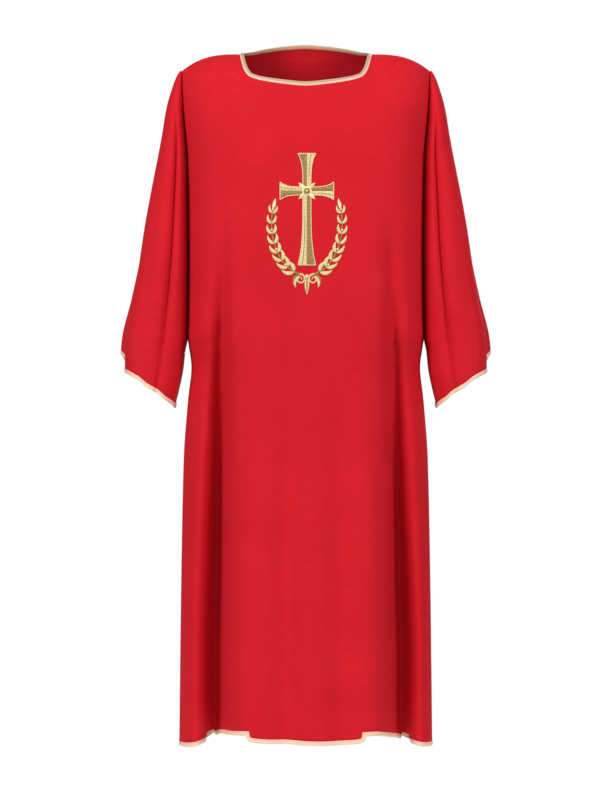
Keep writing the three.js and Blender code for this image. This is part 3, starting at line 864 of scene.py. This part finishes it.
def stitch_band(name, line, half, crown, material, steps=40, across=8, base=0.2, square=None):
    """A padded band along line(share) -> x, z; half(share) is its half width.

    It is cut off square to its own line, or to the direction square if one is given.
    """
    share = np.linspace(0, 1, steps + 1)
    x, z = line(share)
    slope_x, slope_z = (np.gradient(x), np.gradient(z)) if square is None else square
    length = np.hypot(slope_x, slope_z)
    side_x, side_z = slope_z / length + 0 * x, -slope_x / length + 0 * x
    turn = np.linspace(0, 2 * np.pi, 2 * across + 1)
    reach = np.cos(turn)
    height = np.where(np.sin(turn) > 0, np.sin(turn) * crown, UNDERSIDE)
    width = half(share)
    flat = np.minimum(1, width / max(width.max(), 0.01) * 1.6)
    px = x[:, None] + side_x[:, None] * width[:, None] * reach
    pz = z[:, None] + side_z[:, None] * width[:, None] * reach
    points = on_front(px, pz, base + height[None] * flat[:, None])
    run = np.concatenate([[0], np.cumsum(np.hypot(np.diff(x), np.diff(z)))])
    lengths = np.stack(
        np.broadcast_arrays(run[:, None] / MM, width[:, None] * reach[None] / MM), axis=-1
    )
    band, _ = lay_grid(
        name, points, lambda p: np.tile([0.0, -1.0, 0.0], (len(p), 1)), material, 0, lengths
    )
    return band


def join(name, pieces):
    bpy.ops.object.select_all(action="DESELECT")
    for piece in pieces:
        piece.select_set(True)
    bpy.context.view_layer.objects.active = pieces[0]
    bpy.ops.object.join()
    whole = bpy.context.object
    whole.name = whole.data.name = name
    bpy.ops.object.mode_set(mode="EDIT")
    bpy.ops.mesh.select_all(action="SELECT")
    bpy.ops.mesh.remove_doubles(threshold=STITCH_WELD)
    bpy.ops.mesh.select_all(action="DESELECT")
    bpy.ops.mesh.select_non_manifold()
    bpy.ops.mesh.fill_holes(sides=0)
    bpy.ops.mesh.select_all(action="SELECT")
    bpy.ops.mesh.normals_make_consistent(inside=False)
    bpy.ops.object.mode_set(mode="OBJECT")
    print(name, "joined from", len(pieces), "parts,", len(whole.data.polygons), "faces")
    return whole


def finish_emblem(piece, nodes):
    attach(piece, "root")
    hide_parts(*nodes)
    panel_sheets["front"]["trims"].append(piece)


# %% [markdown]
# The cross has a tall upright and two arms, all flared at their ends. Each limb is worked as
# two halves, the one toward the light in pale gold and the other in old gold as painted
# shade, a fine old gold vein runs down the pale half, and a cream cord is laid round the
# outline. The limbs stop short of the crossing, which is covered by a round boss with four
# petals.

# %% The cross
CROSS = dict(x=2, top=-192, foot=-388, crossing=-258, stem=6.5, flare=15, arm=47, bare=5)
CORD_OFFSET = 0.6
CORD_HALF = 0.8
TIP_CORD_HALF = 0.9


def straight(x0, z0, x1, z1):
    return lambda share: (x0 + (x1 - x0) * share, z0 + (z1 - z0) * share)


def even_band(name, line, half, crown, material, steps=24):
    return stitch_band(name, line, lambda share: 0 * share + half, crown, material, steps)


def flared(share):
    return CROSS["stem"] + (CROSS["flare"] - CROSS["stem"]) * share**4


def limb(name, x1, z1):
    """One limb of the cross, from the crossing outwards: two halves, a vein and the outline."""
    aim = np.array([x1 - CROSS["x"], z1 - CROSS["crossing"]], float)
    aim /= np.hypot(*aim)
    start = np.array([CROSS["x"], CROSS["crossing"]]) + aim * CROSS["bare"]
    run = np.hypot(x1 - start[0], z1 - start[1])

    def beside(shift):
        """A line along the limb, shift(share) to its right."""
        return lambda share: (
            start[0] + aim[0] * run * share + aim[1] * shift(share),
            start[1] + aim[1] * run * share - aim[0] * shift(share),
        )

    parts = []
    # the pale gold half stands for the lit side, the old gold half is painted shade
    for half, shade in [(1, PALE_GOLD), (-1, OLD_GOLD_AND_PAINTED_SHADE)]:
        middle = beside(lambda share, half=half: half * flared(share) / 2)
        parts.append(stitch_band(
            f"{name}_{half}", middle, lambda share: flared(share) / 2, 1.5, shade, square=aim
        ))
        outline = beside(lambda share, half=half: half * (flared(share) + CORD_OFFSET))
        parts.append(even_band(f"{name}_cord_{half}", outline, CORD_HALF, 1.7, CREAM_CORD, 40))
    vein = beside(lambda share: flared(share) * 0.55)
    parts.append(stitch_band(
        f"{name}_vein", vein, lambda share: 0.25 + 0.6 * share, 2.1, OLD_GOLD_AND_PAINTED_SHADE, square=aim
    ))
    tip = CROSS["flare"] + CORD_OFFSET
    closing = straight(
        x1 + aim[1] * tip, z1 - aim[0] * tip, x1 - aim[1] * tip, z1 + aim[0] * tip
    )
    parts.append(even_band(f"{name}_tip", closing, TIP_CORD_HALF, 1.9, CREAM_CORD, 12))
    return parts


def leaf(name, x0, z0, angle, length, width, bend, material, lift=0.2):
    """A pointed leaf from x0, z0, heading along angle and turning by bend."""
    def line(share):
        turn = angle + bend * (share - 0.5)
        return x0 + length * share * np.cos(turn), z0 + length * share * np.sin(turn)

    def half(share):
        return width * np.sin(np.pi * share**0.8) ** 0.9 + 0.15

    return stitch_band(name, line, half, 1.3, material, steps=14, across=5, base=lift)


def dot(name, x, z, radius, material, crown=2.0, lift=0.2):
    """A padded round: a band that swells from nothing and back."""
    line = straight(x - radius, z, x + radius, z)
    return stitch_band(
        name, line, lambda share: radius * np.sqrt(1 - (2 * share - 1) ** 2) + 0.05, crown, material,
        steps=14, across=5, base=lift,
    )


def scroll(name, x, z, size, start, turns, side, material):
    """A tendril that winds in on itself from x, z, and gets thinner."""
    def line(share):
        radius = size * (1 - 0.82 * share)
        angle = math.radians(start) + turns * 2 * np.pi * share
        return (
            x + side * (radius * np.cos(angle) - size * math.cos(math.radians(start))),
            z + radius * np.sin(angle) - size * math.sin(math.radians(start)),
        )

    return stitch_band(name, line, lambda share: 1.9 - 1.1 * share, 1.5, material, steps=44, across=5)


def boss():
    x, z = CROSS["x"], CROSS["crossing"]
    parts = []
    for k in range(4):
        angle = math.pi / 4 + k * math.pi / 2
        reach = CROSS["stem"] * 0.55
        x0, z0 = x + reach * math.cos(angle), z + reach * math.sin(angle)
        shade = CREAM_CORD if k % 2 else PALE_GOLD
        parts.append(leaf(f"petal_{k}", x0, z0, angle, 17, 3.6, 0.0, shade, 1.2))
    parts.append(dot("boss_rim", x, z, CROSS["stem"] + 2.5, CREAM_CORD, 1.8, 0.9))
    parts.append(dot("boss_heart", x, z, CROSS["stem"] - 0.4, OLD_GOLD_AND_PAINTED_SHADE, 2.2, 1.6))
    parts.append(dot("boss_bead", x, z, 2.2, PALE_GOLD, 2.0, 3.0))
    return parts


upright = limb("upper", CROSS["x"], CROSS["top"]) + limb("lower", CROSS["x"], CROSS["foot"]) + boss()
finish_emblem(join("embroidered_upright", upright), ["emblem_upright"])
for name, side in [("left", 1), ("right", -1)]:
    arm = limb(f"arm_{name}", CROSS["x"] + side * CROSS["arm"], CROSS["crossing"])
    finish_emblem(join(f"embroidered_arm_{name}", arm), [f"emblem_arm_{name}"])

# %% [markdown]
# Two leafy sprays rise from the foot of the cross. A stem is a thin band along an arc, and
# pairs of leaves grow from it, smaller towards the tip, each with an old gold leaf behind it
# that is painted shade along its back edge. Between them sit berries, and at the foot the
# stems end in scrolls over three hanging leaves.

# %% The sprays
SPRAY = dict(x=2, z=-316, across=62, up=90, start=12, end=108, leaves=8)
LEAF_LONGEST = 23
LEAF_TAPER = 8
LEAF_ANGLE = 0.8


def spray_point(side, share):
    angle = np.radians(SPRAY["start"] + (SPRAY["end"] - SPRAY["start"]) * share)
    return (
        SPRAY["x"] + side * SPRAY["across"] * np.sin(angle),
        SPRAY["z"] - SPRAY["up"] * np.cos(angle),
    )


def spray(side, label):
    stem = stitch_band(
        f"stem_{label}", lambda s: spray_point(side, s), lambda s: 1.9 - 0.9 * s, 1.3, OLD_GOLD_AND_PAINTED_SHADE
    )
    parts = [stem]
    for k in range(SPRAY["leaves"]):
        share = 0.1 + 0.84 * k / (SPRAY["leaves"] - 1)
        x0, z0 = spray_point(side, share)
        x1, z1 = spray_point(side, share + 0.02)
        heading = math.atan2(z1 - z0, x1 - x0)
        size = LEAF_LONGEST - LEAF_TAPER * share
        for turn in (LEAF_ANGLE, -LEAF_ANGLE):
            name = f"leaf_{label}_{k}"
            # an old gold leaf just behind each pale one paints shade along its back edge
            shaded = heading + turn * 1.18
            parts.append(leaf(name, x0, z0, shaded, size * 0.93, size * 0.13, -turn, OLD_GOLD_AND_PAINTED_SHADE))
            parts.append(leaf(name, x0, z0, heading + turn, size, size * 0.16, -turn, PALE_GOLD, 0.7))
        if k % 2:
            berry = spray_point(side, share + 0.045)
            parts.append(dot(f"berry_{label}_{k}", *berry, 2.0, CREAM_CORD, 1.8, 0.9))
    x0, z0 = spray_point(side, 0.99)
    x1, z1 = spray_point(side, 1.01)
    parts.append(leaf(f"tip_{label}", x0, z0, math.atan2(z1 - z0, x1 - x0), 19, 3, 0.0, CREAM_CORD))
    foot_x, foot_z = spray_point(side, 0)
    parts.append(scroll(f"scroll_{label}", foot_x, foot_z, 9, 100, -1.35, -side, PALE_GOLD))
    down, bend = -math.pi / 2, -side * 0.9
    front = leaf(f"drop_{label}", foot_x, foot_z - 3, down + side * 0.75, 22, 3.4, bend, PALE_GOLD)
    back = leaf(f"drop_back_{label}", foot_x, foot_z - 2, down + side * 1.05, 19, 2.6, bend, OLD_GOLD_AND_PAINTED_SHADE)
    parts += [front, back]
    return parts


for name, side in [("left", 1), ("right", -1)]:
    parts = spray(side, name)
    if name == "left":
        foot = (SPRAY["x"], SPRAY["z"] - SPRAY["up"] - 4)
        parts.append(leaf("drop_middle", *foot, -math.pi / 2, 30, 4.2, 0.0, PALE_GOLD, 0.6))
        parts.append(leaf("drop_vein", *foot, -math.pi / 2, 26, 1.0, 0.0, OLD_GOLD_AND_PAINTED_SHADE, 1.6))
        parts.append(dot("drop_bead", foot[0], foot[1] + 2, 3.4, CREAM_CORD, 2.0, 1.2))
    finish_emblem(join(f"embroidered_spray_{name}", parts), [f"emblem_spray_{name}"])

# %% [markdown]
# The sampling can miss the hem row, which is 10 to 25 mm longer than the width declared for
# a panel. The area of each sheet is the one measured on it as it is laid.


# %% [markdown]
# The studio is a round pale floor and a white sky. The sky looks pure white but lights the
# cloth only faintly, so that the folds keep their depth. Two large soft lights in front do
# the rest, the left one stronger, which shows the ripples; others light the top and back.

# %% Floor
FLOOR_Z = cad_low[2] - 0.35
FLOOR_RADIUS = 1.3
bpy.ops.object.select_all(action="DESELECT")
bpy.ops.mesh.primitive_circle_add(
    vertices=96, radius=FLOOR_RADIUS, fill_type="NGON", location=(0, 0, FLOOR_Z)
)
floor = bpy.context.object
floor.name = "studio_floor"
paint = new_material("matt_white_studio_floor")
place = add_node(paint, "ShaderNodeTexCoord")
grain = add_node(
    paint, "ShaderNodeTexNoise", {"Vector": place.outputs["Object"]}, sockets={"Scale": 3.0, "Detail": 2.0}
)
shade = add_node(paint, "ShaderNodeValToRGB", {"Fac": grain.outputs["Fac"]})
shade.color_ramp.elements[0].color = linear("#F4F3F2")
shade.color_ramp.elements[1].color = linear("#F8F7F6")
finish_material(paint, add_node(
    paint, "ShaderNodeBsdfPrincipled", {"Base Color": shade.outputs["Color"]}, sockets={"Roughness": 0.9}
))
floor.data.materials.append(paint)

# %% Lights
SKY_SEEN = 1.0
SKY_FILL = 0.22


def soft_light(name, location, size, watts):
    bpy.ops.object.light_add(type="AREA", location=location)
    lamp = bpy.context.object
    lamp.name = name
    lamp.data.shape = "DISK"
    lamp.data.size = size
    lamp.data.energy = watts
    aim = np.array([0, 0, VIEW_LEVEL]) - np.array(location)
    tilt = math.atan2(np.hypot(aim[0], aim[1]), -aim[2])
    lamp.rotation_euler = (tilt, 0, math.atan2(aim[0], -aim[1]) + math.pi)
    return lamp


soft_light("softbox_left", (-2.8, -2.9, 0.9), 1.6, 107)
soft_light("softbox_right", (2.9, -2.8, 0.8), 1.6, 80)
soft_light("softbox_top", (0, -1.6, 2.6), 1.8, 36)
soft_light("softbox_back", (0.8, 3.6, 0.8), 2.2, 60)

sky = bpy.data.worlds.new("pale_studio")
sky.use_nodes = True
white = sky.node_tree.nodes["Background"]
white.inputs["Color"].default_value = linear("#FFFFFF")
seen = sky.node_tree.nodes.new("ShaderNodeLightPath")
strength = sky.node_tree.nodes.new("ShaderNodeMapRange")
strength.inputs["To Min"].default_value = SKY_FILL
strength.inputs["To Max"].default_value = SKY_SEEN
sky.node_tree.links.new(seen.outputs["Is Camera Ray"], strength.inputs["Value"])
sky.node_tree.links.new(strength.outputs["Result"], white.inputs["Strength"])
bpy.context.scene.world = sky
bpy.context.scene.view_settings.view_transform = "Standard"
